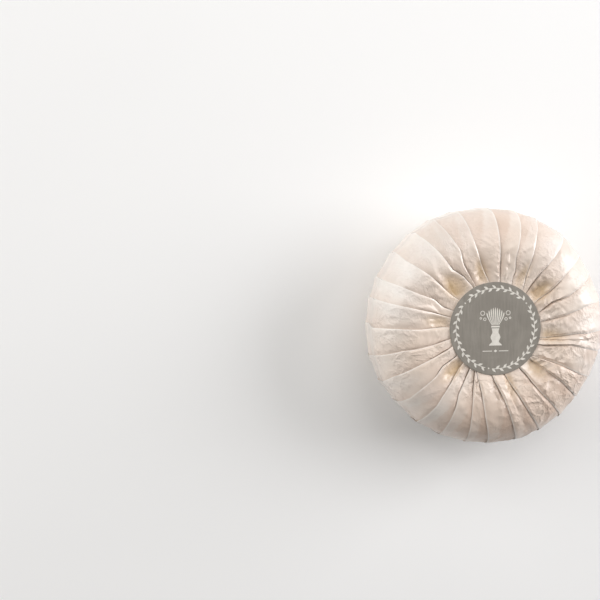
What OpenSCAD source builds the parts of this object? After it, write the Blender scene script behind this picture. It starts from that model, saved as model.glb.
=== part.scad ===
// Round shaving soap cake in a pleated tissue wrapper, closed with a round label.
// Millimetres. The puck lies flat with its label up. +Z is the axis of the cake,
// and the origin is the middle of the underside.

/* [Soap cake] */
// Diameter of the bare soap cake
cake_d = 60; // [58:1:70]
// Thickness of the bare soap cake
cake_h = 25; // [24:0.5:30]
// Radius of the cake's two rounded rims
cake_rim_r = 9.5; // [6:0.5:9.5]
// Diameter of the shallow dish pressed into the top face
cake_dish_d = 38; // [34:1:38]
// Depth of that dish
cake_dish_depth = 1.5; // [0.6:0.1:2]

/* [Wrapper] */
// Thickness of the smooth sheet under the cake
wrap_under_t = 0.5; // [0.3:0.1:0.8]
// Thickness of the folded layers round the side
wrap_side_t = 0.7; // [0.5:0.1:1]
// Thickness of the folded layers on the top shoulder
wrap_top_t = 0.9; // [0.7:0.1:1.2]
// Thickness of the gathered layers under the label
wrap_seat_t = 1.4; // [1.2:0.1:1.6]
// Number of pleats round the wrapper
pleats = 28; // [20:1:32]
// How far a fold edge stands out of the layers below it
fold_h = 0.25; // [0.2:0.05:0.4]
// Width of a fold edge
fold_w = 0.8; // [0.6:0.1:1.2]
// Distance by which the fold lines miss the axis, which turns them like a pinwheel
fold_turn = 4.5; // [2:0.5:5]
// Height above the underside at which the fold edges begin
fold_start_z = 2.5; // [2:0.5:4]
// Diameter of the small mouth that the gathered edge leaves in the middle
mouth_d = 6; // [4:0.5:6]

/* [Label] */
// Diameter of the paper label
label_d = 24; // [22:0.5:26]
// Thickness of the paper label
label_t = 0.15; // [0.1:0.05:0.3]
// Thickness of the adhesive under the label
adhesive_t = 0.05; // [0.05:0.01:0.1]
// How far the adhesive stays back from the label's edge
adhesive_inset = 0.4; // [0.2:0.1:1]

/* [Hidden] */

// Room between the soap and the sheet round it
cake_clear = 0.1;
// Room between the label's edge and the inner ends of the fold edges
label_clear = 0.4;
// Overlap that makes each cut run cleanly through a face
cut = 1;

cake_r = cake_d / 2;
cake_z = wrap_under_t + cake_clear;
wrap_r = cake_r + cake_clear + wrap_side_t;
wrap_h = cake_z + cake_h + cake_clear + wrap_top_t;
wrap_rim_r = cake_rim_r + cake_clear + wrap_side_t;
seat_r = label_d / 2 + label_clear;
seat_z = cake_z + cake_h - cake_dish_depth + cake_clear + wrap_seat_t;
// The band round the side, where the pleats lie pressed flat, just covers the straight stretch of the side.
band_z = wrap_rim_r - 0.1;
band_h = wrap_h - 2 * band_z;

$fn = 96;

// Half section of a disc of radius r and height h with both rims rounded.
module rounded_section(r, h, rim_r) {
  square([r - rim_r, h]);
  translate([0, rim_r]) square([r, h - 2 * rim_r]);
  translate([r - rim_r, rim_r]) circle(rim_r);
  translate([r - rim_r, h - rim_r]) circle(rim_r);
}

// Half section of a shallow dish: flat floor at z, then a slope up to the rim of the dish.
module dish_section(floor_r, floor_z, edge_r, edge_z) {
  polygon([[0, floor_z], [floor_r, floor_z], [edge_r, edge_z], [edge_r, edge_z + cut], [0, edge_z + cut]]);
}

// Half section of the cake, grown all over by grow.
module cake_section(grow) {
  difference() {
    translate([0, cake_z - grow])
      rounded_section(cake_r + grow, cake_h + 2 * grow, cake_rim_r + grow);
    translate([0, grow])
      dish_section(seat_r, cake_z + cake_h - cake_dish_depth, cake_dish_d / 2, cake_z + cake_h);
  }
}

// Half section of the wrapper's outside, raised by lift for the fold edges.
module wrap_section(lift) {
  difference() {
    rounded_section(wrap_r + lift, wrap_h + lift, wrap_rim_r + lift);
    translate([0, lift]) dish_section(seat_r, seat_z, cake_dish_d / 2, wrap_h);
  }
}

// The thin slices that the fold edges lie in, and the level slice that holds the pressed band.
module fold_places() {
  inner_x = sqrt(seat_r * seat_r - fold_turn * fold_turn);
  for (i = [0 : pleats - 1])
    rotate(i * 360 / pleats)
      translate([inner_x, -fold_turn - fold_w / 2, fold_start_z]) cube([wrap_r, fold_w, wrap_h]);
  translate([0, 0, band_z]) cylinder(h = band_h, r = wrap_r + cut);
}

module soap_cake() {
  color([0.94, 0.91, 0.82]) rotate_extrude() cake_section(0);
}

module wrapper() {
  color([0.9, 0.86, 0.8])
    difference() {
      union() {
        rotate_extrude() wrap_section(0);
        intersection() {
          rotate_extrude() wrap_section(fold_h);
          fold_places();
        }
      }
      rotate_extrude() cake_section(cake_clear);
      translate([0, 0, cake_z + cake_h / 2]) cylinder(h = cake_h, d = mouth_d);
    }
}

module label_adhesive() {
  color([0.8, 0.78, 0.7])
    translate([0, 0, seat_z]) cylinder(h = adhesive_t, r = label_d / 2 - adhesive_inset);
}

module seal_label() {
  color([0.57, 0.55, 0.51])
    translate([0, 0, seat_z + adhesive_t]) cylinder(h = label_t, d = label_d);
}

soap_cake();
wrapper();
label_adhesive();
seal_label();
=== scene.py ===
import math

import bmesh
import bpy
import numpy as np
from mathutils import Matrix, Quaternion, Vector


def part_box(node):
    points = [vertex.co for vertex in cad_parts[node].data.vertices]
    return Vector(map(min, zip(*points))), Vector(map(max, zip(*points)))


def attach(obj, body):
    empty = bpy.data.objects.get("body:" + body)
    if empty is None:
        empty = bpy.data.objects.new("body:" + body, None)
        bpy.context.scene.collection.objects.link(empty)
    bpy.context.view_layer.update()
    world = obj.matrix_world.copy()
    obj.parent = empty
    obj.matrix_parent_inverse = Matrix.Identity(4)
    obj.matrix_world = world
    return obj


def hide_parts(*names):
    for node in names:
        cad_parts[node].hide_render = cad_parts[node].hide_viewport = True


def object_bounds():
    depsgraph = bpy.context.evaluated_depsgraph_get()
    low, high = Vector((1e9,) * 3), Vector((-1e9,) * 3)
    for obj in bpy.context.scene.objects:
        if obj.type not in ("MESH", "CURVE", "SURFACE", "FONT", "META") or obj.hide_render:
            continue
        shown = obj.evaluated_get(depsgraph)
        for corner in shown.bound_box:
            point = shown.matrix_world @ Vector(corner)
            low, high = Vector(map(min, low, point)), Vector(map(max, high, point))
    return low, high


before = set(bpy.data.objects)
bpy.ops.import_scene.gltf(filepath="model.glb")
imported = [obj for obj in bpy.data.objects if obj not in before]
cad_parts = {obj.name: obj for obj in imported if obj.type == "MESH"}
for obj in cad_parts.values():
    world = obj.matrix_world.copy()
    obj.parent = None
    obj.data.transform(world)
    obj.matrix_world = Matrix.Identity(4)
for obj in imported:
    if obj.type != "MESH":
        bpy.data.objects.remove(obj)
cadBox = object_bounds()
print("frame loaded:", ", ".join(sorted(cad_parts)))

mm = 0.001
scene = bpy.context.scene
cakeLow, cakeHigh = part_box("soap_cake")
labelLow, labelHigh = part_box("seal_label")
glueLow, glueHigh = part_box("label_adhesive")


# where the view is taken from

cameraSpec = {
    "lens": 100.0,
    "sensor": 36.0,
    "fromPuck": (-0.255, 0.085, 0.963),  # from the puck towards the camera
    "seenWidth": 158.0,  # how much the frame takes in at the puck, in mm
    "puckAt": (0.61, -0.082),  # the puck stands right of the middle, in half frames
}


def makeCamera(spec):
    data = bpy.data.cameras.new("camera")
    data.lens = spec["lens"]
    data.sensor_width = spec["sensor"]
    halfTan = spec["sensor"] / 2 / spec["lens"]
    sideways, upward = (part * halfTan for part in spec["puckAt"])
    toPuck = -Vector(spec["fromPuck"]).normalized()
    ray = Vector((sideways, upward, -1.0))
    level = toPuck.to_track_quat("-Z", "Y")
    # to_track_quat keeps +Z up, so the view is rolled until +Y points up in the frame
    upNow = level @ Vector((0, 1, 0))
    upWanted = (Vector((0, 1, 0)) - toPuck * toPuck.y).normalized()
    roll = math.atan2(upNow.cross(upWanted).dot(-toPuck), upNow.dot(upWanted))
    level = Quaternion(-toPuck, roll) @ level
    aim = level @ ray.normalized().rotation_difference(Vector((0, 0, -1)))
    camera = bpy.data.objects.new("camera", data)
    camera.rotation_mode = "QUATERNION"
    camera.rotation_quaternion = aim
    depth = spec["seenWidth"] * mm / 2 / halfTan
    middle = (cadBox[0] + cadBox[1]) / 2
    camera.location = middle - toPuck * depth * ray.length
    data.clip_start = 0.01
    data.clip_end = 20
    scene.collection.objects.link(camera)
    scene.camera = camera


makeCamera(cameraSpec)
print("camera placed")


# short ways to add and join shader nodes

def newMaterial(name):
    material = bpy.data.materials.new(name)
    material.use_nodes = True
    tree = material.node_tree
    return material, tree, tree.nodes["Principled BSDF"]


def addNode(tree, kind, values=(), **settings):
    node = tree.nodes.new(kind)
    for name, value in settings.items():
        setattr(node, name, value)
    for name, value in dict(values).items():
        node.inputs[name].default_value = value
    return node


def link(tree, start, end):
    tree.links.new(start, end)


def math2(tree, operation, first, second, clamp=False):
    node = addNode(tree, "ShaderNodeMath", operation=operation, use_clamp=clamp)
    for slot, value in zip(node.inputs, (first, second)):
        if hasattr(value, "is_output"):
            link(tree, value, slot)
        else:
            slot.default_value = value
    return node.outputs[0]


def mixColour(tree, factor, first, second, blend="MIX"):
    node = addNode(tree, "ShaderNodeMix", data_type="RGBA", blend_type=blend)
    for slot, value in ((0, factor), (6, first), (7, second)):
        if hasattr(value, "is_output"):
            link(tree, value, node.inputs[slot])
        elif slot == 0:
            node.inputs[slot].default_value = value
        else:
            node.inputs[slot].default_value = (*value, 1.0)
    return node.outputs[2]


def newGroup(name, inputs, outputs):
    group = bpy.data.node_groups.new(name, "ShaderNodeTree")
    for socketName, kind, value in inputs:
        socket = group.interface.new_socket(socketName, in_out="INPUT", socket_type=kind)
        if value is not None:
            socket.default_value = value
    for socketName, kind in outputs:
        group.interface.new_socket(socketName, in_out="OUTPUT", socket_type=kind)
    return group, addNode(group, "NodeGroupInput"), addNode(group, "NodeGroupOutput")


def placeGroup(tree, group, values=(), **links):
    node = addNode(tree, "ShaderNodeGroup", node_tree=group)
    for name, value in dict(values).items():
        node.inputs[name].default_value = value
    for name, output in links.items():
        link(tree, output, node.inputs[name])
    return node


# effects that several materials share

def makeFibreGroup():
    # long paper fibres: two sets of stretched noise that cross at twice the spread, and a speckle
    group, ins, outs = newGroup(
        "paperFibre",
        [("Place", "NodeSocketVector", None), ("Scale", "NodeSocketFloat", 1000.0),
         ("Stretch", "NodeSocketFloat", 6.0), ("Spread", "NodeSocketFloat", 0.6)],
        [("Fibre", "NodeSocketFloat"), ("Speckle", "NodeSocketFloat")])
    fibres = []
    for side in (1.0, -1.0):
        turned = addNode(group, "ShaderNodeVectorRotate", rotation_type="Z_AXIS")
        link(group, math2(group, "MULTIPLY", ins.outputs["Spread"], side), turned.inputs["Angle"])
        link(group, ins.outputs["Place"], turned.inputs["Vector"])
        squeeze = addNode(group, "ShaderNodeCombineXYZ", {"X": 1.0, "Z": 1.0})
        link(group, math2(group, "DIVIDE", 1.0, ins.outputs["Stretch"]), squeeze.inputs["Y"])
        stretched = addNode(group, "ShaderNodeVectorMath", operation="MULTIPLY")
        link(group, turned.outputs["Vector"], stretched.inputs[0])
        link(group, squeeze.outputs["Vector"], stretched.inputs[1])
        noise = addNode(group, "ShaderNodeTexNoise", {"Detail": 3.0, "Roughness": 0.6})
        link(group, stretched.outputs["Vector"], noise.inputs["Vector"])
        link(group, ins.outputs["Scale"], noise.inputs["Scale"])
        fibres.append(noise.outputs["Fac"])
    link(group, math2(group, "MAXIMUM", *fibres), outs.inputs["Fibre"])
    speckle = addNode(group, "ShaderNodeTexNoise", {"Detail": 2.0})
    link(group, ins.outputs["Place"], speckle.inputs["Vector"])
    link(group, math2(group, "MULTIPLY", ins.outputs["Scale"], 1.7), speckle.inputs["Scale"])
    link(group, speckle.outputs["Fac"], outs.inputs["Speckle"])
    return group


def makeMottleGroup():
    # soft clouds, as in waxed tissue, soap and thin paper
    group, ins, outs = newGroup(
        "softMottle",
        [("Place", "NodeSocketVector", None), ("Scale", "NodeSocketFloat", 100.0),
         ("Low", "NodeSocketFloat", 0.35), ("High", "NodeSocketFloat", 0.65)],
        [("Mask", "NodeSocketFloat")])
    noise = addNode(group, "ShaderNodeTexNoise", {"Detail": 4.0, "Roughness": 0.55, "Distortion": 0.4})
    link(group, ins.outputs["Place"], noise.inputs["Vector"])
    link(group, ins.outputs["Scale"], noise.inputs["Scale"])
    spread = addNode(group, "ShaderNodeMapRange", interpolation_type="SMOOTHSTEP")
    link(group, noise.outputs["Fac"], spread.inputs["Value"])
    link(group, ins.outputs["Low"], spread.inputs["From Min"])
    link(group, ins.outputs["High"], spread.inputs["From Max"])
    link(group, spread.outputs["Result"], outs.inputs["Mask"])
    return group


fibreGroup = makeFibreGroup()
mottleGroup = makeMottleGroup()
print("shared effects made")


def mottleMask(tree, place, scale, low=0.35, high=0.65):
    values = {"Scale": scale, "Low": low, "High": high}
    return placeGroup(tree, mottleGroup, values, Place=place).outputs["Mask"]


def spreadTo(tree, value, low, high, fromLow=0.0, fromHigh=1.0):
    # stretches a value between fromLow and fromHigh to low and high
    limits = {"From Min": fromLow, "From Max": fromHigh, "To Min": low, "To Max": high}
    node = addNode(tree, "ShaderNodeMapRange", limits)
    link(tree, value, node.inputs["Value"])
    return node.outputs["Result"]


# the wrapper: one round tissue sheet, gathered in knife pleats

wrapperSpec = {
    "seed": 11,
    "pleats": 28,
    "clothT": 0.035,  # thickness of the tissue, all lengths in mm
    "rowSteps": {"under": 2.0, "lower": 1.0, "side": 0.9, "upper": 0.46, "slope": 0.34, "seat": 1.4},
    "underZ": 0.05,  # the single layer under the cake
    "underR": 20.4,  # where the flat underside ends
    "underRise": 9.9,
    "sideRoom": 0.5,  # room between the cake and the lowest layer at the side
    "topRoom": 0.2,
    "topR": 20.8,
    "topDrop": 9.6,
    "seatDrop": 1.0,  # lowest layer below the label
    "seatR": 13.2,  # where the slope down to the label ends
    "mouthR": 3.1,
    # curves from here on are pairs of distance along the sheet and value
    "spacing": [(0, 0), (21, 0), (25, 0.06), (31, 0.085), (46, 0.08), (52, 0.09), (58, 0.11),
                (64, 0.13), (67, 0.14), (71, 0.09), (78, 0.05)],  # between layers
    "crease": 0.07,  # between the two layers at a fold edge
    "mostOverlap": 3.0,  # caps the stack at seven layers, fewer than a real sheet has at the mouth
    "angleJitter": 1.6,  # degrees
    "bunching": 4.6,  # degrees, at the label
    "kinks": 1.0,  # degrees, how far a fold line strays in straight runs
    "turnAll": 8,  # degrees that fold lines turn on their way in, more towards turnTowards
    "turnTowards": 20,
    "turnMost": 16,  # degrees more, round the direction turnMostAt
    "turnMostAt": -92,
    "turnMostWidth": 34,
    "openTowards": -120,  # the direction in which fold edges stand open most
    "lift": [(22, 0), (30, 0.1), (47, 0.07), (54, 0.1), (64, 0.25), (66.5, 0.1), (68, 0)],
    "tilt": [(24, 0), (34, 0.3), (48, 0.42), (60, 0.5), (66, 0.3), (68, 0)],
    "pinwheel": 4.6,  # the fold lines miss the axis by about this much
    "puffs": [(26, 0), (32, 0.13), (46, 0.2), (55, 0.32), (60, 0.75), (64, 0.85), (66, 0.5), (67.5, 0)],
    # parts round the axis and slant of each set of facets
    "facets": {"long": (96, 0.15), "across": (64, -0.8), "cut": (56, 1.05),
               "fine": (190, -0.35), "fineAcross": (150, 1.0)},
    "crushTowards": -25,  # directions in degrees where the tissue is crushed most
    "crushUpperAt": 82,
    "crushUpperWidth": 22,
    "creases": 185,
    "creaseTowards": -35,
    "creaseFocus": 0.8,
    "creaseReach": 14,  # how far out from the label they spread
    "creaseSlant": 1.3,
    "creaseHalf": (1.2, 3.6),
    "creaseHeight": (0.1, 0.3),
    "creaseSteep": (0.3, 0.5),
    "creaseGentle": (1.0, 2.4),
    "hollow": 1.5,  # how far strips sink between fold edges; 1 is straight across
    # direction in degrees, depth in mm and half width in degrees
    "valleys": [(134, 1.0, 8), (104, 0.7, 5), (62, 0.6, 4), (38, 0.85, 7), (-8, 0.6, 6), (-44, 0.7, 6),
                (-137, 0.9, 6), (-75, 0.5, 4), (172, 0.5, 6)],
    # painted shade on stretches of the rim, browner; at the back rim partly the tissue's own brownish bands:
    # direction, half width, and where they fade towards the label
    "frontRim": (-80, 48, 57, 66),
    "backRim": (86, 22, 53, 60),
}


def smoothStep(low, high, value):
    part = np.clip((value - low) / (high - low), 0, 1)
    return part * part * (3 - 2 * part)


def meridian(spec):
    # the lowest layer's section, from the middle of the underside to the mouth
    sideR = cakeHigh.x / mm + spec["sideRoom"]
    topZ = cakeHigh.z / mm + spec["topRoom"]
    seatZ = glueLow.z / mm - spec["seatDrop"]
    lowerZ, upperZ = spec["underZ"] + spec["underRise"], topZ - spec["topDrop"]
    steps = 60  # points on each stretch
    along, quarter = np.linspace(0, 1, steps), np.linspace(0, math.pi / 2, steps)
    parts = {
        "under": [spec["underR"] * along, spec["underZ"] + 0 * along],
        "lower": [spec["underR"] + (sideR - spec["underR"]) * np.sin(quarter),
                  lowerZ - spec["underRise"] * np.cos(quarter)],
        "side": [sideR + 0 * along, lowerZ + (upperZ - lowerZ) * along],
        "upper": [spec["topR"] + (sideR - spec["topR"]) * np.cos(quarter),
                  upperZ + spec["topDrop"] * np.sin(quarter)],
        "slope": [spec["topR"] + (spec["seatR"] - spec["topR"]) * along,
                  topZ - (topZ - seatZ) * smoothStep(0, 1, along)],
        "seat": [spec["seatR"] + (spec["mouthR"] - spec["seatR"]) * along, seatZ + 0 * along],
    }
    points = np.concatenate([np.column_stack(part)[:-1] for part in parts.values()])
    length = np.concatenate([[0], np.cumsum(np.linalg.norm(np.diff(points, axis=0), axis=1))])
    ends = {name: length[min((steps - 1) * (i + 1), len(length) - 1)] for i, name in enumerate(parts)}
    slope = np.gradient(points, length, axis=0)
    return points, length, np.column_stack([slope[:, 1], -slope[:, 0]]), ends


def rowPlaces(spec, ends):
    # distances along the sheet where the mesh has a row, closer together where it shows
    rows, start = [], 0.0
    for name, step in spec["rowSteps"].items():
        count = max(2, round((ends[name] - start) / step))
        rows.append(np.linspace(start, ends[name], count, endpoint=False))
        start = ends[name]
    return np.concatenate(rows + [[start]])


def waves(rng, count, across, along):
    # a smooth field over angle and distance along the sheet, from -1 to 1 or so
    terms = [(rng.integers(1, across + 1), rng.uniform(-1, 1) * 2 * math.pi / along,
              rng.uniform(0, 2 * math.pi), rng.uniform(0.5, 1)) for _ in range(count)]
    scale = 1.6 / math.sqrt(count)

    def field(angle, place):
        return scale * sum(w * np.sin(m * angle + q * place + shift) for m, q, shift, w in terms)
    return field


def kinkLines(rng, rows, count, step):
    # for each fold, straight runs with sharp corners between them, from -1 to 1
    lines = []
    for _ in range(count):
        corners = np.cumsum(rng.uniform(0.4, 1.6, int(1.3 * rows[-1] / step) + 4) * step) - 2 * step
        lines.append(np.interp(rows, corners, rng.uniform(-1, 1, len(corners))))
    return np.array(lines).T


def awayFrom(direction, angle):
    # degrees between an angle and a direction, from -180 to 180
    return (np.degrees(angle) - direction + 180) % 360 - 180


def foldTurn(spec, angle):
    # how far a fold line turns between the rim and the label, in degrees, by its direction at the rim
    even = spec["turnAll"] * (0.6 + 0.4 * np.cos(angle - math.radians(spec["turnTowards"])))
    near = np.exp(-((awayFrom(spec["turnMostAt"], angle) / spec["turnMostWidth"]) ** 2))
    return even + spec["turnMost"] * near


def foldAngles(spec, rng, rows, radius, rimPlace):
    # angle of every visible fold edge at every row: rows down, pleats across
    count = spec["pleats"]
    pitch = 2 * math.pi / count
    rim = np.arange(count) * pitch + np.radians(rng.uniform(-1, 1, count) * spec["angleJitter"])
    bunch = np.radians(rng.uniform(-1, 1, count) * spec["bunching"])
    labelR = labelHigh.x / mm
    lean = np.arcsin(spec["pinwheel"] / np.maximum(radius, labelR * 0.8))
    rimLean = math.asin(spec["pinwheel"] / radius.max())
    share = (lean - rimLean) / (math.asin(spec["pinwheel"] / labelR) - rimLean)
    below = rows < rimPlace
    share[below] = -0.021 * (rimPlace - rows[below])
    turn = np.radians(foldTurn(spec, rim)) + bunch
    stray = np.radians(spec["kinks"]) * smoothStep(24, 34, rows) * (1 + smoothStep(50, 62, rows))
    return rim - share[:, None] * turn + stray[:, None] * kinkLines(rng, rows, count, 6)


def byPhase(values, phase, wrap=0.0):
    # a value kept per fold edge, run evenly across the strip to the next one
    count = values.shape[1]
    index = np.floor(phase).astype(int)
    row = np.arange(len(values))[:, None]
    lower = values[row, index % count] + wrap * (index // count)
    upper = values[row, (index + 1) % count] + wrap * ((index + 1) // count)
    return lower + (phase - index) * (upper - lower)


def pleatColumns():
    # one pleat's way round: over the top to the hidden fold, back to the next fold edge, and its rounded lip
    front = [("front", x) for x in (0.02, 0.06, 0.12, 0.2, 0.3, 0.4, 0.5, 0.6, 0.7, 0.8, 0.89, 0.96)]
    return front + [("tuck", 0.0), ("tuck", 1.0), ("back", 1.0), ("back", 0.5), ("back", 0.0), ("lip", 0.0)]


def stackPleats(spec, rows, overlap, lifts):
    # every column's phase round the axis, its level off the lowest layer, and what its place means
    count = spec["pleats"]
    spacing = np.interp(rows, *zip(*spec["spacing"]))
    crease = np.minimum(spacing, spec["crease"])
    top = 2 * spacing * (overlap + 1)
    lip = 0.03 * smoothStep(0, 0.06, overlap)
    stack = {name: [] for name in ("phase", "level", "used", "front", "foldEdge", "tuck", "layers")}
    for pleat in range(count):
        nextLift = lifts[:, (pleat + 1) % count]
        for kind, x in pleatColumns():
            deep = lip + (overlap - lip) * x  # how far a hidden layer reaches behind the next fold edge
            window, edge, tucked, layers = 0.0, 0.0, 1.0, 1 + 0 * rows
            if kind == "front":
                phase, level, way = pleat + x + 0 * rows, top - 2 * spacing * x, x + 0 * rows
                level = level + lifts[:, pleat] * max(0.0, 1 - x / 0.6) ** 2
                window = min(1, x / 0.1) * min(1, max(0, 0.97 - x) / 0.1)
                edge, tucked = max(0.0, 1 - x / 0.05), smoothStep(0.35, 1.0, x)
                layers = sum(smoothStep(-0.03, 0.03, overlap - x - extra) for extra in range(3)) / 3
            elif kind == "tuck":
                phase, level, way = pleat + 1 + deep, top - 2 * spacing * (1 + deep), 1 + deep
            elif kind == "back":
                gap = crease + (spacing - crease) * np.minimum(1, deep / 0.3)
                phase, level, way = pleat + 1 + deep, top - 2 * spacing * deep - gap, 1 + 2 * overlap - deep
                level = level + nextLift * np.clip(1 - deep / 0.6, 0, 1) ** 2
            else:
                phase, level, way = pleat + 1 + 0 * rows, top - crease / 2 + nextLift, 1 + 2 * overlap
                edge, tucked = 1.0, 0.0
            used = 2 * math.pi / count * (pleat + way / (1 + 2 * overlap))
            for name, value in zip(stack, (phase, level, used, window, edge, tucked, layers)):
                stack[name].append(value + 0 * rows)
    return {name: np.array(value).T for name, value in stack.items()}, top, crease


def valleyField(spec, angle, place, ends, breadth):
    # gaps between bunched pleats beside the label, where few layers lie over the soap
    along = smoothStep(ends["slope"] - 8, ends["slope"] - 1.5, place)
    field = np.zeros_like(angle)
    for direction, depth, width in spec["valleys"]:
        away = awayFrom(direction, angle)
        field = np.maximum(field, depth * np.exp(-((away / width / breadth) ** 2) / (0.15 + along)))
    return field * along


def facets(rng, angle, place, parts, slant):
    # straight-sided ridges of random height round the axis, which slant across the strips
    meanR = 16.0
    corners = np.sort(rng.uniform(0, 2 * math.pi, parts))
    turned = angle + math.tan(slant) * (place + 1.1 * np.sin(3 * angle + 0.35 * place)) / meanR
    return np.interp(turned, corners, rng.uniform(0, 1, parts), period=2 * math.pi)


def crushedShare(spec, rng, angle, place, ends):
    # where the tissue is crushed most: beside the label, and all the way out on the right and front
    turned = 0.5 + 0.5 * np.cos(angle - math.radians(spec["crushTowards"]))
    upper = 0.8 * np.exp(-((np.degrees(angle) - spec["crushUpperAt"]) / spec["crushUpperWidth"]) ** 2)
    patches = 0.3 * waves(rng, 8, 5, 30)(angle, place)
    near = smoothStep(ends["slope"] - 9, ends["slope"] - 4, place)
    outside = 0.27 + 0.55 * turned + patches
    beside = 0.35 + 0.65 * np.maximum(turned, upper)
    return np.clip(outside * (1 - near) + beside * near, 0.05, 1.1)


def puffField(spec, rng, ownAngle, place):
    # buckled tissue: long ridges towards the label, broken into flat facets by slanting ones
    ridges = {name: facets(rng, ownAngle, place, *shape) for name, shape in spec["facets"].items()}
    coarse = ridges["long"] * (0.35 + 0.65 * ridges["across"])
    coarse = np.minimum(coarse, 0.25 + 0.6 * ridges["cut"])
    fine = np.minimum(ridges["fine"], ridges["fineAcross"])
    return np.interp(place, *zip(*spec["puffs"])) * (1.5 * coarse + 0.6 * fine)


def creaseField(spec, rng, angle, place, radius, ends):
    # short pressed creases that cross the strips, each a steep face and a long one
    field = np.zeros_like(angle)
    for _ in range(spec["creases"]):
        middle = rng.vonmises(math.radians(spec["creaseTowards"]), spec["creaseFocus"])
        where = ends["slope"] - 1 - abs(rng.normal(0, spec["creaseReach"]))
        slant = rng.uniform(-spec["creaseSlant"], spec["creaseSlant"])
        half, height, steep, gentle = (
            rng.uniform(*spec[name])
            for name in ("creaseHalf", "creaseHeight", "creaseSteep", "creaseGentle"))
        across = ((angle - middle + math.pi) % (2 * math.pi) - math.pi) * radius
        along = place - where
        side = across * math.cos(slant) + along * math.sin(slant)
        run = along * math.cos(slant) - across * math.sin(slant)
        face = np.where(side < 0, 1 + side / steep, 1 - side / gentle)
        rise = height * np.clip(face, 0, 1)
        field = np.maximum(field, rise * np.clip(1.6 - 1.6 * np.abs(run) / half, 0, 1))
    return field * smoothStep(26, 32, place) * (1 - smoothStep(ends["slope"] - 1, ends["slope"] + 0.5, place))


def rimShade(angle, place, direction, width, fadeFrom, fadeTo):
    # painted shade on a stretch of the rim, browner, from 0 to 1
    shade = np.exp(-((awayFrom(direction, angle) / width) ** 2)) * smoothStep(34, 45, place)
    return shade * (1 - smoothStep(fadeFrom, fadeTo, place))


def soapTop():
    # the cake's upper surface as height by radius, from its own mesh
    corners = np.array([tuple(vertex.co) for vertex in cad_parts["soap_cake"].data.vertices]) / mm
    upper = corners[corners[:, 2] > (cakeLow.z + cakeHigh.z) / 2 / mm]
    reach = np.hypot(upper[:, 0], upper[:, 1])
    order = np.argsort(reach)
    return reach[order], upper[order, 2]


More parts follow.
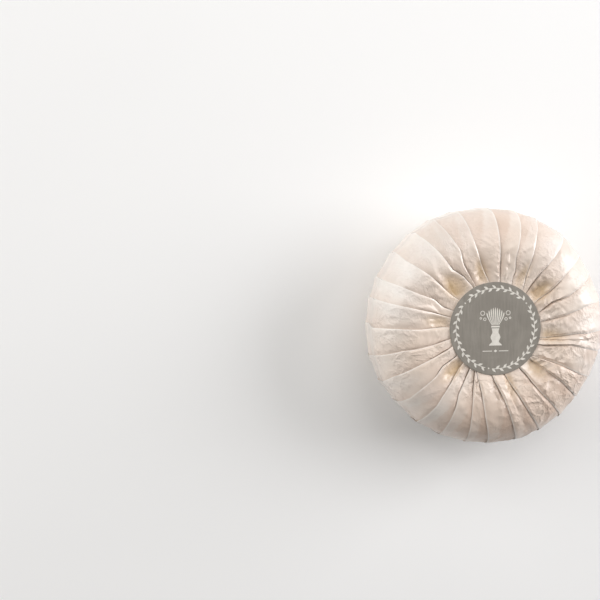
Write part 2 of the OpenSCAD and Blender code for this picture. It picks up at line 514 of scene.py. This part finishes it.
def buildWrapper(spec):
    rng = np.random.default_rng(spec["seed"])
    curve, length, normals, ends = meridian(spec)
    rows = rowPlaces(spec, ends)
    radius, height = (np.interp(rows, length, curve[:, i]) for i in (0, 1))
    outR, outZ = (np.interp(rows, length, normals[:, i]) for i in (0, 1))
    size = np.hypot(outR, outZ)
    outR, outZ = outR / size, outZ / size
    safeR = np.maximum(radius, 0.05)
    count = spec["pleats"]
    overlap = np.clip((rows / safeR - 1) / 2, 0, spec["mostOverlap"])  # hidden share of each pleat
    folds = foldAngles(spec, rng, rows, safeR, ends["side"])
    reach = np.interp(rows, *zip(*spec["lift"]))[:, None]
    towardsFront = 0.6 + 0.35 * np.cos(folds.mean(axis=0) - math.radians(spec["openTowards"]))
    openness = rng.uniform(0.1, 1.0, count) * towardsFront
    lifts = reach * np.clip(openness + 0.6 * kinkLines(rng, rows, count, 5), 0.02, 1.3)
    stack, top, crease = stackPleats(spec, rows, overlap, lifts)

    # near the middle of the underside the mesh keeps fewer columns
    phases = stack["phase"]
    for limit, parts in ((12.0, 3), (5.0, 1)):
        few = rows < limit
        phases[few] = np.round(phases[few] * parts) / parts
    angle = byPhase(folds, phases, 2 * math.pi)
    place = np.repeat(rows[:, None], angle.shape[1], axis=1)
    kinds = pleatColumns() * count
    isLip = np.array([kind == "lip" for kind, _ in kinds])
    angle = angle - np.where(isLip, (crease / 2 / safeR)[:, None], 0)

    pressed = smoothStep(ends["slope"] - 0.2, ends["slope"] + 1.0, place)
    # hidden layers sink more broadly, so that none bridges a gap above the strip in front of it
    breadth = np.array([3.0 if kind == "tuck" or kind == "back" and x > 0 else 1.0 for kind, x in kinds])
    valley = valleyField(spec, angle, place, ends, breadth) * (1 - pressed)
    soft = waves(rng, 26, 9, 22)(angle, place)
    thickness = 1 + 0.2 * waves(rng, 18, 12, 15)(angle, place)
    inFold = phases - np.floor(phases)
    sag = (2 * math.pi / count * safeR) ** 2 * np.abs(outR) / (8 * safeR) * smoothStep(22, 30, rows)
    tilts = np.interp(rows, *zip(*spec["tilt"]))[:, None] * np.clip(
        0.45 + 0.6 * kinkLines(rng, rows, count, 14), 0, 1.1)
    # every strip buckles in its own way, on top of what all layers share
    ownAngle = angle + np.repeat(rng.uniform(0, 2 * math.pi, count), len(pleatColumns()))[None, :]
    crushed = crushedShare(spec, rng, angle, place, ends)
    buckled = puffField(spec, rng, ownAngle, place) * crushed
    creased = creaseField(spec, rng, angle, place, safeR[:, None], ends)
    shared = 0.1 * soft * smoothStep(23, 32, place) + byPhase(tilts, phases) - valley
    shared = shared - spec["hollow"] * 4 * inFold * (1 - inFold) * sag[:, None]
    relief = stack["front"] * (buckled + creased) * (1 - 0.7 * np.clip(valley, 0, 1))
    loose = stack["level"] * thickness + shared + relief
    # below the label the layers are pressed flat and fill the room evenly
    room = glueLow.z / mm - 0.03 - height
    flatOut = stack["level"] / np.maximum(top, 0.001)[:, None] * room[:, None]
    out = loose * (1 - pressed) + flatOut * pressed
    out = np.where(place < spec["underR"], -np.abs(0.05 * soft) * smoothStep(3, 12, place), out)
    pointR = radius[:, None] + outR[:, None] * out
    pointZ = np.maximum(height[:, None] + outZ[:, None] * out, spec["clothT"])
    onTop = place > ends["upper"]
    clear = np.interp(pointR, *soapTop()) + 0.08 + 0.3 * stack["level"]
    pointZ = np.where(onTop, np.maximum(pointZ, clear), pointZ)
    points = np.stack([pointR * np.cos(angle), pointR * np.sin(angle), pointZ], axis=-1)
    flat = np.stack([place * np.cos(stack["used"]), place * np.sin(stack["used"]), 0 * place], axis=-1)
    tones = np.repeat(rng.uniform(0, 1, count), len(pleatColumns()))[None, :]
    folded = smoothStep(23, 32, place)
    frontRim, backRim = (rimShade(angle, place, *spec[name]) for name in ("frontRim", "backRim"))
    uneven = 0.25 * waves(rng, 14, 6, 20)(angle, place)
    # warmer towards the label, partly the soap showing through and partly painted shade; painted shade on the
    # front and back rims, at the back partly brownish bands; random unevenness
    warmTintAndShade = 0.9 * smoothStep(50, 61, place) + frontRim + 0.6 * backRim + uneven
    masks = {
        "foldEdge": stack["foldEdge"] * smoothStep(22, 30, place) * (1 - pressed),
        "tuck": stack["tuck"] * folded,
        "valley": valley,
        "tone": np.clip(tones + 0.35 * waves(rng, 14, 7, 20)(angle, place), 0, 1) * folded,
        # the front and back rims count as fewer layers, so they take more of the shade colour: painted shade
        "layers": 1 - (1 - stack["layers"] * folded) * (0.55 + 0.85 * frontRim + 0.65 * backRim),
        "warmTintAndShade": np.clip(warmTintAndShade, 0, 1) * folded,
        "crushed": crushed * folded,
    }
    return points, flat, masks


def sheetMesh(name, points, flat, masks, thickness):
    rowCount, columnCount = points.shape[:2]
    index = np.arange(rowCount * columnCount).reshape(rowCount, columnCount)
    nextIndex = np.roll(index, -1, axis=1)
    quads = np.stack([index[:-1], nextIndex[:-1], nextIndex[1:], index[1:]], axis=-1).reshape(-1, 4)
    mesh = bpy.data.meshes.new(name)
    mesh.from_pydata((points.reshape(-1, 3) * mm).tolist(), [], quads.tolist())
    flatData = mesh.attributes.new("flatPlace", "FLOAT_VECTOR", "POINT")
    flatData.data.foreach_set("vector", (flat.reshape(-1, 3) * mm).ravel())
    for maskName, mask in masks.items():
        data = mesh.attributes.new(maskName, "FLOAT", "POINT")
        data.data.foreach_set("value", np.asarray(mask, dtype=np.float32).ravel())
    work = bmesh.new()
    work.from_mesh(mesh)
    bmesh.ops.remove_doubles(work, verts=work.verts, dist=0.004 * mm)
    bmesh.ops.dissolve_degenerate(work, edges=work.edges, dist=0.001 * mm)
    for face in work.faces:
        face.smooth = True
    work.to_mesh(mesh)
    work.free()
    mesh.set_sharp_from_angle(angle=math.radians(26))
    sheet = bpy.data.objects.new(name, mesh)
    scene.collection.objects.link(sheet)
    solid = sheet.modifiers.new("thickness", "SOLIDIFY")
    solid.thickness, solid.offset = thickness * mm, -1
    applyModifiers(sheet)
    return sheet


def applyModifiers(piece):
    bpy.context.view_layer.update()
    evaluated = piece.evaluated_get(bpy.context.evaluated_depsgraph_get())
    done = bpy.data.meshes.new_from_object(evaluated)
    piece.modifiers.clear()
    piece.data = done


points, flat, masks = buildWrapper(wrapperSpec)
wrapper = sheetMesh("pleatedTissue", points, flat, masks, wrapperSpec["clothT"])


# the tissue's finish, with painted shade and painted highlights

tissueSpec = {
    "ivory": (0.865, 0.825, 0.775),
    "rose": (0.865, 0.805, 0.76),
    "warmAndShaded": (0.80, 0.675, 0.575),  # warmer tint and painted shade: beside the label and on the front and back rims
    "shade": (0.665, 0.51, 0.41),  # strips with few layers over the soap and random darker strips, also painted shade where a strip tucks under the next and on the front and back rims
    "soapShowAndShade": (0.66, 0.46, 0.24),  # where only a layer or two covers the soap, and painted shade in the deep valleys beside the label
    # painted highlight along the fold edges, partly the paler crease of waxed tissue
    "foldPaleAndHighlight": (0.92, 0.88, 0.83),
    "bands": 0.5,
    "patchShare": 0.35,
    "tuckShadeShare": 0.34,
    "valleyShare": 0.95,
    "foldHighlightShare": 0.75,
    "roughness": 0.39,
    "coat": 0.45,
    "coatRoughness": 0.18,
    "crinkles": [(420.0, 1.0), (1100.0, 0.45)],  # scale and depth of the cells
    "crinkleAll": 0.55,
    "crinkleCrushed": 1.6,  # added where the tissue is crushed
    "bumpDistance": 0.00009,
}


def readMask(tree, name, output="Fac"):
    return addNode(tree, "ShaderNodeAttribute", attribute_name=name).outputs[output]


def makeTissue(spec):
    material, tree, body = newMaterial("waxedTissue")
    place = readMask(tree, "flatPlace", "Vector")
    valley, fold, tone, tuck, layers, crushed, warmTintAndShade = (
        readMask(tree, name) for name in ("valley", "foldEdge", "tone", "tuck", "layers", "crushed", "warmTintAndShade"))
    clouds = mottleMask(tree, place, 130.0, 0.38, 0.62)
    patches = mottleMask(tree, place, 60.0, 0.42, 0.6)
    fibre = placeGroup(tree, fibreGroup, {"Scale": 2200.0, "Stretch": 7.0}, Place=place)
    colour = mixColour(tree, clouds, spec["ivory"], spec["rose"])
    colour = mixColour(tree, warmTintAndShade, colour, spec["warmAndShaded"])
    # tissue over tissue is paler: the hidden folds show through as faint bands; the front and back rims take
    # more of the shade colour, as painted shade
    thin = math2(tree, "POWER", math2(tree, "SUBTRACT", 1.0, layers), 2.0)
    thin = math2(tree, "MULTIPLY", thin, spec["bands"])
    patchy = math2(tree, "MULTIPLY", math2(tree, "MULTIPLY", tone, patches), spec["patchShare"])
    colour = mixColour(tree, math2(tree, "ADD", thin, patchy), colour, spec["shade"])
    # painted shade: each strip darkens towards where it tucks under the next fold edge
    colour = mixColour(tree, math2(tree, "MULTIPLY", tuck, spec["tuckShadeShare"]), colour, spec["shade"])
    # the soap showing through in the valleys beside the label, with painted shade there
    soapAndShade = math2(tree, "MULTIPLY", valley, spec["valleyShare"], clamp=True)
    colour = mixColour(tree, soapAndShade, colour, spec["soapShowAndShade"])
    # painted highlight along the fold edges, partly the paler crease of waxed tissue
    colour = mixColour(tree, math2(tree, "MULTIPLY", fold, spec["foldHighlightShare"]), colour, spec["foldPaleAndHighlight"])
    grain = spreadTo(tree, fibre.outputs["Fibre"], 0.955, 1.03, 0.3, 0.75)
    colour = mixColour(tree, 1.0, colour, grain, "MULTIPLY")
    link(tree, colour, body.inputs["Base Color"])

    rough = spreadTo(tree, clouds, spec["roughness"] - 0.08, spec["roughness"] + 0.1)
    smoother = math2(tree, "MULTIPLY", fold, 0.12)
    link(tree, math2(tree, "SUBTRACT", rough, smoother), body.inputs["Roughness"])
    coat = math2(tree, "MULTIPLY", math2(tree, "ADD", patches, 0.4), spec["coat"])
    link(tree, coat, body.inputs["Coat Weight"])
    body.inputs["Coat Roughness"].default_value = spec["coatRoughness"]

    # fine crinkles: cell borders at two sizes, and the fibres
    crinkles = []
    for scale, depth in spec["crinkles"]:
        cells = addNode(tree, "ShaderNodeTexVoronoi", {"Scale": scale}, feature="DISTANCE_TO_EDGE")
        link(tree, place, cells.inputs["Vector"])
        ridge = addNode(tree, "ShaderNodeMapRange", {"From Max": 0.22, "To Min": depth, "To Max": 0.0},
                        interpolation_type="SMOOTHSTEP")
        link(tree, cells.outputs["Distance"], ridge.inputs["Value"])
        crinkles.append(math2(tree, "MULTIPLY", ridge.outputs["Result"], clouds))
    deep = math2(tree, "ADD", math2(tree, "MULTIPLY", crushed, spec["crinkleCrushed"]), spec["crinkleAll"])
    crinkled = math2(tree, "MULTIPLY", math2(tree, "ADD", *crinkles), deep)
    height = math2(tree, "ADD", crinkled, math2(tree, "MULTIPLY", fibre.outputs["Fibre"], 0.5))
    bump = addNode(tree, "ShaderNodeBump", {"Strength": 0.8, "Distance": spec["bumpDistance"]})
    link(tree, height, bump.inputs["Height"])
    link(tree, bump.outputs["Normal"], body.inputs["Normal"])
    return material


wrapper.data.materials.clear()
wrapper.data.materials.append(makeTissue(tissueSpec))
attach(wrapper, "wrapped_cake")
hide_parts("wrapper")
print("tissue finished")


# the label: one round sheet of grey paper

labelSpec = {
    "rings": 34,
    "sides": 168,
    "ripple": 0.035,  # the pleats below show through towards the rim, in mm
    "edgeRound": 0.05,
    "glueWander": 0.18,  # how unevenly the adhesive stops short of the edge
    "grey": (0.238, 0.217, 0.186),
    "greyLight": (0.295, 0.271, 0.235),
    "core": (0.66, 0.62, 0.55),  # cut edge of the paper
    "underside": (0.70, 0.67, 0.60),
}
labelR = labelHigh.x / mm
labelTop, labelBottom = labelHigh.z / mm, labelLow.z / mm


def labelRise(x, y):
    # how far the label's surface stands off its level, in mm
    radius, angle = np.hypot(x, y) / labelR, np.arctan2(y, x)
    ripple = np.cos(wrapperSpec["pleats"] * angle + 1.7 * np.sin(2 * angle)) + 0.6 * np.cos(17 * angle + 1.0)
    dent = 0.5 * np.cos(3 * angle + 0.6) * smoothStep(0.2, 0.8, radius)
    return labelSpec["ripple"] * ((ripple - 0.8) * smoothStep(0.72, 1.0, radius) + dent)


def roundSheet(name, radius, low, high, edgeRound, wander=0.0):
    # a thin round sheet with a rounded upper edge, following the label's ripple
    rings, sides = labelSpec["rings"], labelSpec["sides"]
    angle = np.linspace(0, 2 * math.pi, sides, endpoint=False)
    rim = radius - wander * (0.5 + 0.35 * np.sin(5 * angle + 0.4) + 0.15 * np.sin(13 * angle))
    shares = (np.arange(1, rings + 1) / rings) ** 0.85
    loops = [(rim * share - edgeRound * (share == 1), high) for share in shares]
    loops += [(rim - edgeRound * 0.3, high - edgeRound * 0.3), (rim, high - edgeRound), (rim, low)]
    loops += [(rim * share, low) for share in shares[::-1][1:]]
    points = [(0, 0, high + labelRise(0, 0))]
    for reach, z in loops:
        x, y = reach * np.cos(angle), reach * np.sin(angle)
        points += list(zip(x, y, z + labelRise(x, y)))
    points.append((0, 0, low + labelRise(0, 0)))
    last = len(points) - 1
    faces = [(0, 1 + i, 1 + (i + 1) % sides) for i in range(sides)]
    for loop in range(len(loops) - 1):
        start = 1 + loop * sides
        faces += [(start + i, start + sides + i, start + sides + (i + 1) % sides, start + (i + 1) % sides)
                  for i in range(sides)]
    start = 1 + (len(loops) - 1) * sides
    faces += [(start + i, last, start + (i + 1) % sides) for i in range(sides)]
    return meshPiece(name, np.array(points), faces)


def meshPiece(name, points, faces, smooth=True):
    mesh = bpy.data.meshes.new(name)
    mesh.from_pydata((np.asarray(points) * mm).tolist(), [], faces)
    for face in mesh.polygons:
        face.use_smooth = smooth
    mesh.validate()
    piece = bpy.data.objects.new(name, mesh)
    scene.collection.objects.link(piece)
    return piece


def makeLabelPaper(spec):
    material, tree, body = newMaterial("greyLabelPaper")
    coords = addNode(tree, "ShaderNodeTexCoord").outputs["Object"]
    fibre = placeGroup(tree, fibreGroup, {"Scale": 1900.0, "Stretch": 14.0, "Spread": 0.07}, Place=coords)
    clouds = mottleMask(tree, coords, 240.0, 0.35, 0.7)
    # the paper's upright rib: noise drawn out along Y
    rib = addNode(tree, "ShaderNodeMapping")
    rib.inputs["Scale"].default_value = (1.0, 0.06, 1.0)
    link(tree, coords, rib.inputs["Vector"])
    bands = addNode(tree, "ShaderNodeTexNoise", {"Scale": 620.0, "Detail": 3.0})
    link(tree, rib.outputs["Vector"], bands.inputs["Vector"])
    blend = math2(tree, "MULTIPLY", math2(tree, "ADD", clouds, bands.outputs["Fac"]), 0.5)
    colour = mixColour(tree, blend, spec["grey"], spec["greyLight"])
    grain = spreadTo(tree, fibre.outputs["Fibre"], 0.9, 1.12, 0.35, 0.75)
    colour = mixColour(tree, 1.0, colour, grain, "MULTIPLY")
    split = addNode(tree, "ShaderNodeSeparateXYZ")
    link(tree, addNode(tree, "ShaderNodeNewGeometry").outputs["Normal"], split.inputs["Vector"])
    facing = math2(tree, "LESS_THAN", split.outputs["Z"], 0.5)
    colour = mixColour(tree, facing, colour, spec["core"])
    link(tree, colour, body.inputs["Base Color"])
    link(tree, spreadTo(tree, fibre.outputs["Speckle"], 0.55, 0.72), body.inputs["Roughness"])
    bump = addNode(tree, "ShaderNodeBump", {"Strength": 0.6, "Distance": 0.00002})
    link(tree, math2(tree, "ADD", fibre.outputs["Fibre"], bands.outputs["Fac"]), bump.inputs["Height"])
    link(tree, bump.outputs["Normal"], body.inputs["Normal"])
    return material


label = roundSheet("greyLabel", labelR, labelBottom, labelTop, labelSpec["edgeRound"])
label.data.materials.append(makeLabelPaper(labelSpec))
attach(label, "label")
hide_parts("seal_label")
print("label made")


# the print: a shaving brush inside a ring of leaf sprigs

printSpec = {
    "inkT": 0.02,  # thickness of the ink, in mm
    "ringR": 10.35,
    "dots": [38, 140, 260],  # directions of the dots between the sprigs, in degrees
    "dotR": 0.2,
    "leafStep": 0.98,
    "leafLength": 1.35,
    "leafWidth": 0.56,
    "leafSlant": 38,
    "stemWidth": 0.16,
    "bristles": 9,
    # half width of the brush's handle, by distance below the middle of the label
    "handle": [(-0.1, 1.0), (0.5, 0.86), (1.0, 0.74), (1.6, 1.1), (2.3, 1.34), (3.0, 1.0), (3.4, 0.8),
               (3.75, 1.2), (4.0, 1.62), (4.35, 1.7)],
    "bubbles": [(3.35, 4.0, 0.62), (2.8, 2.45, 0.42), (3.85, 2.7, 0.3)],  # place and radius, on each side
    "bubbleLine": 0.17,
    "ink": (0.80, 0.765, 0.70),
}


def inkPiece(name, outlines):
    # each outline becomes a thin flat patch of ink on the label, with straight sides
    work = bmesh.new()
    for outline in outlines:
        outline = np.asarray(outline, dtype=float)
        level = labelTop + labelRise(outline[:, 0], outline[:, 1])
        rings = [[work.verts.new(Vector((x, y, z)) * mm) for (x, y), z in zip(outline, level + rise)]
                 for rise in (printSpec["inkT"], -printSpec["inkT"])]
        work.faces.new(rings[0])
        work.faces.new(rings[1][::-1])
        for i in range(len(outline)):
            after = (i + 1) % len(outline)
            work.faces.new((rings[0][i], rings[1][i], rings[1][after], rings[0][after]))
    work.normal_update()
    manySided = [face for face in work.faces if len(face.verts) > 4]
    bmesh.ops.triangulate(work, faces=manySided, ngon_method="EAR_CLIP")
    bmesh.ops.recalc_face_normals(work, faces=work.faces)
    mesh = bpy.data.meshes.new(name)
    work.to_mesh(mesh)
    work.free()
    piece = bpy.data.objects.new(name, mesh)
    scene.collection.objects.link(piece)
    return piece


def onCircle(middle, radius, corners):
    return np.column_stack([middle[0] + radius * np.cos(corners), middle[1] + radius * np.sin(corners)])


def ringOutlines(middle, radius, width, parts=24):
    # a thin ring, drawn as short straight patches that meet
    corners = np.linspace(0, 2 * math.pi, parts + 1)
    inner = onCircle(middle, radius - width, corners)
    outer = onCircle(middle, radius, corners)
    return [[outer[i], outer[i + 1], inner[i + 1], inner[i]] for i in range(parts)]


def discOutline(middle, radius, sides=14):
    return onCircle(middle, radius, np.linspace(0, 2 * math.pi, sides, endpoint=False))


def leafOutline(root, direction, length, width):
    # a leaf with a pointed tip, widest a little above its root
    along = np.linspace(0, 1, 9)
    half = width / 2 * np.sin(math.pi * along ** 0.85)
    side = np.array([-math.sin(direction), math.cos(direction)])
    ahead = np.array([math.cos(direction), math.sin(direction)])
    spine = np.asarray(root) + np.outer(along * length, ahead)
    return np.concatenate([spine + np.outer(half, side), (spine - np.outer(half, side))[-2:0:-1]])


def sprigOutlines(spec):
    outlines = []
    dots = sorted(spec["dots"])
    inside, outside = (spec["ringR"] + side * spec["stemWidth"] / 2 for side in (-1, 1))
    for start, end in zip(dots, dots[1:] + [dots[0] + 360]):
        start, end = math.radians(start + 5), math.radians(end - 5)
        count = round((end - start) * spec["ringR"] / spec["leafStep"])
        spots = np.linspace(start, end, count)
        for i, spot in enumerate(spots[:-1]):
            root = spec["ringR"] * np.array([math.cos(spot), math.sin(spot)])
            lean = math.radians(spec["leafSlant"]) * (1 if i % 2 else -1)
            direction = spot + math.pi / 2 + lean
            outlines.append(leafOutline(root, direction, spec["leafLength"], spec["leafWidth"]))
            for a in np.linspace(spot, spots[i + 1], 3)[:-1]:
                b = a + (spots[i + 1] - spot) / 2
                outlines.append([(r * math.cos(c), r * math.sin(c))
                                 for r, c in ((inside, a), (outside, a), (outside, b), (inside, b))])
    outlines += [discOutline(spec["ringR"] * np.array([math.cos(a), math.sin(a)]), spec["dotR"])
                 for a in np.radians(dots)]
    return outlines


def brushOutlines(spec):
    outlines = []
    for share in np.linspace(-1, 1, spec["bristles"]):  # the knot fans out of the ferrule
        foot, tip = np.array([share * 0.9, 0.95]), np.array([share * 2.25, 5.4 - 1.3 * share ** 2])
        middle = np.array([share * 2.2, 3.0])
        along = np.linspace(0, 1, 9)[:, None]
        spine = foot * (1 - along) ** 2 + 2 * middle * along * (1 - along) + tip * along ** 2
        half = (0.08 + 0.14 * along) * np.sqrt(np.clip(1 - along ** 6, 0.05, 1))
        outlines.append(np.concatenate([spine - half * [1, 0], (spine + half * [1, 0])[::-1]]))
    outlines.append([(-1.1, 0.3), (1.1, 0.3), (1.1, 0.72), (-1.1, 0.72)])  # ferrule
    heights = np.linspace(0.08, -4.35, 40)
    widths = np.interp(-heights, *zip(*spec["handle"]))
    smooth = np.convolve(np.pad(widths, 2, mode="edge"), np.ones(5) / 5, mode="valid")
    left, right = (np.column_stack([side * smooth, heights]) for side in (-1, 1))
    outlines.append(np.concatenate([left, right[::-1]]))
    for x, y, radius in spec["bubbles"]:
        for side in (-1, 1):
            outlines += ringOutlines((side * x, y), radius, spec["bubbleLine"])
    for side in (-1, 1):  # a thin rule with a lozenge in the middle
        outlines.append([(side * 0.9, -5.86), (side * 3.4, -5.86), (side * 3.4, -5.66), (side * 0.9, -5.66)])
    outlines.append([(0.5, -5.76), (0, -5.41), (-0.5, -5.76), (0, -6.11)])
    return outlines


def makeInk(spec):
    material, tree, body = newMaterial("paleInk")
    coords = addNode(tree, "ShaderNodeTexCoord").outputs["Object"]
    fibre = placeGroup(tree, fibreGroup, {"Scale": 1700.0, "Stretch": 5.0}, Place=coords)
    clouds = mottleMask(tree, coords, 700.0, 0.3, 0.7)
    worn = math2(tree, "MULTIPLY", math2(tree, "MULTIPLY", fibre.outputs["Speckle"], clouds), 0.35)
    link(tree, mixColour(tree, worn, spec["ink"], labelSpec["greyLight"]), body.inputs["Base Color"])
    link(tree, spreadTo(tree, clouds, 0.42, 0.6), body.inputs["Roughness"])
    bump = addNode(tree, "ShaderNodeBump", {"Strength": 0.4, "Distance": 0.000015})
    link(tree, fibre.outputs["Fibre"], bump.inputs["Height"])
    link(tree, bump.outputs["Normal"], body.inputs["Normal"])
    return material


paleInk = makeInk(printSpec)
labelPrints = {"labelSprigs": sprigOutlines(printSpec), "labelBrush": brushOutlines(printSpec)}
for pieceName, outlines in labelPrints.items():
    inkedPiece = inkPiece(pieceName, outlines)
    inkedPiece.data.materials.append(paleInk)
    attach(inkedPiece, "label")
print("label printed")


# the film of adhesive under the label

glueSpec = {"film": (0.80, 0.75, 0.60), "roughness": 0.16, "edgeRound": 0.01}


def makeGlue(spec):
    material, tree, body = newMaterial("tackyFilm")
    coords = addNode(tree, "ShaderNodeTexCoord").outputs["Object"]
    clouds = mottleMask(tree, coords, 420.0, 0.3, 0.7)
    link(tree, mixColour(tree, math2(tree, "MULTIPLY", clouds, 0.5), spec["film"], labelSpec["underside"]),
         body.inputs["Base Color"])
    rough = spreadTo(tree, clouds, spec["roughness"], spec["roughness"] + 0.2)
    link(tree, rough, body.inputs["Roughness"])
    strings = addNode(tree, "ShaderNodeTexNoise", {"Scale": 900.0, "Detail": 3.0, "Distortion": 1.5})
    link(tree, coords, strings.inputs["Vector"])
    bump = addNode(tree, "ShaderNodeBump", {"Strength": 0.7, "Distance": 0.00003})
    link(tree, strings.outputs["Fac"], bump.inputs["Height"])
    link(tree, bump.outputs["Normal"], body.inputs["Normal"])
    return material


glue = roundSheet("adhesiveFilm", glueHigh.x / mm, glueLow.z / mm, glueHigh.z / mm,
                  glueSpec["edgeRound"], labelSpec["glueWander"])
glue.data.materials.append(makeGlue(glueSpec))
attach(glue, "label")
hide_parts("label_adhesive")
print("adhesive made")


# the soap is seen through the mouth when the label is off

soapSpec = {
    "cream": (0.88, 0.77, 0.59),
    "pale": (0.91, 0.84, 0.72),
    "roughness": 0.34,
    "subsurface": 0.08,
    "subsurfaceRadius": (0.003, 0.002, 0.001),
}


def makeSoap(spec):
    material, tree, body = newMaterial("hardSoap")
    coords = addNode(tree, "ShaderNodeTexCoord").outputs["Object"]
    clouds = mottleMask(tree, coords, 90.0)
    link(tree, mixColour(tree, clouds, spec["cream"], spec["pale"]), body.inputs["Base Color"])
    rough = spreadTo(tree, clouds, spec["roughness"] - 0.06, spec["roughness"] + 0.12)
    link(tree, rough, body.inputs["Roughness"])
    body.inputs["Subsurface Weight"].default_value = spec["subsurface"]
    body.inputs["Subsurface Radius"].default_value = spec["subsurfaceRadius"]
    body.inputs["Subsurface Scale"].default_value = 1.0
    pressed = addNode(tree, "ShaderNodeTexNoise", {"Scale": 1300.0, "Detail": 4.0})
    link(tree, coords, pressed.inputs["Vector"])
    bump = addNode(tree, "ShaderNodeBump", {"Strength": 0.35, "Distance": 0.00004})
    link(tree, pressed.outputs["Fac"], bump.inputs["Height"])
    link(tree, bump.outputs["Normal"], body.inputs["Normal"])
    return material


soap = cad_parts["soap_cake"]
soap.data.materials.clear()
soap.data.materials.append(makeSoap(soapSpec))
print("soap finished")


# a pale floor, three soft lamps and a sky

studioSpec = {
    "floorSize": 3.0,
    "floor": (0.95, 0.95, 0.945),
    "floorCloud": (0.84, 0.84, 0.84),
    "floorRoughness": 0.8,
    "sky": (1.0, 0.985, 0.965),
    "skyStrength": 0.15,
    "lights": [
        # name, direction from the puck, distance and size in metres, watts, colour
        ("leftBox", (-0.90, 0.38, 0.42), 0.75, 0.75, 4.5, (1.0, 0.99, 0.97)),
        ("rightBox", (0.92, 0.28, 0.43), 0.75, 0.55, 5.3, (1.0, 0.99, 1.0)),
        ("topBox", (0.15, 0.62, 1.00), 0.70, 0.50, 1.5, (1.0, 0.985, 0.98)),
    ],
}


def makeStudio(spec):
    material, tree, body = newMaterial("paleFloor")
    coords = addNode(tree, "ShaderNodeTexCoord").outputs["Object"]
    clouds = math2(tree, "MULTIPLY", mottleMask(tree, coords, 3.0), 0.2)
    link(tree, mixColour(tree, clouds, spec["floor"], spec["floorCloud"]), body.inputs["Base Color"])
    body.inputs["Roughness"].default_value = spec["floorRoughness"]
    half = spec["floorSize"] / 2 / mm
    floor = meshPiece("floor", [(-half, -half, 0), (half, -half, 0), (half, half, 0), (-half, half, 0)],
                      [(0, 1, 2, 3)], smooth=False)
    floor.data.materials.append(material)
    for name, direction, distance, size, power, colour in spec["lights"]:
        data = bpy.data.lights.new(name, "AREA")
        data.energy, data.size, data.color = power, size, colour
        lamp = bpy.data.objects.new(name, data)
        away = Vector(direction).normalized()
        lamp.location = away * distance
        lamp.rotation_mode = "QUATERNION"
        lamp.rotation_quaternion = away.to_track_quat("Z", "Y")
        scene.collection.objects.link(lamp)
    scene.world = bpy.data.worlds.new("sky")
    scene.world.use_nodes = True
    sky = scene.world.node_tree.nodes["Background"]
    sky.inputs["Color"].default_value = (*spec["sky"], 1.0)
    sky.inputs["Strength"].default_value = spec["skyStrength"]
    scene.view_settings.view_transform = "Standard"


makeStudio(studioSpec)
print("studio lit")
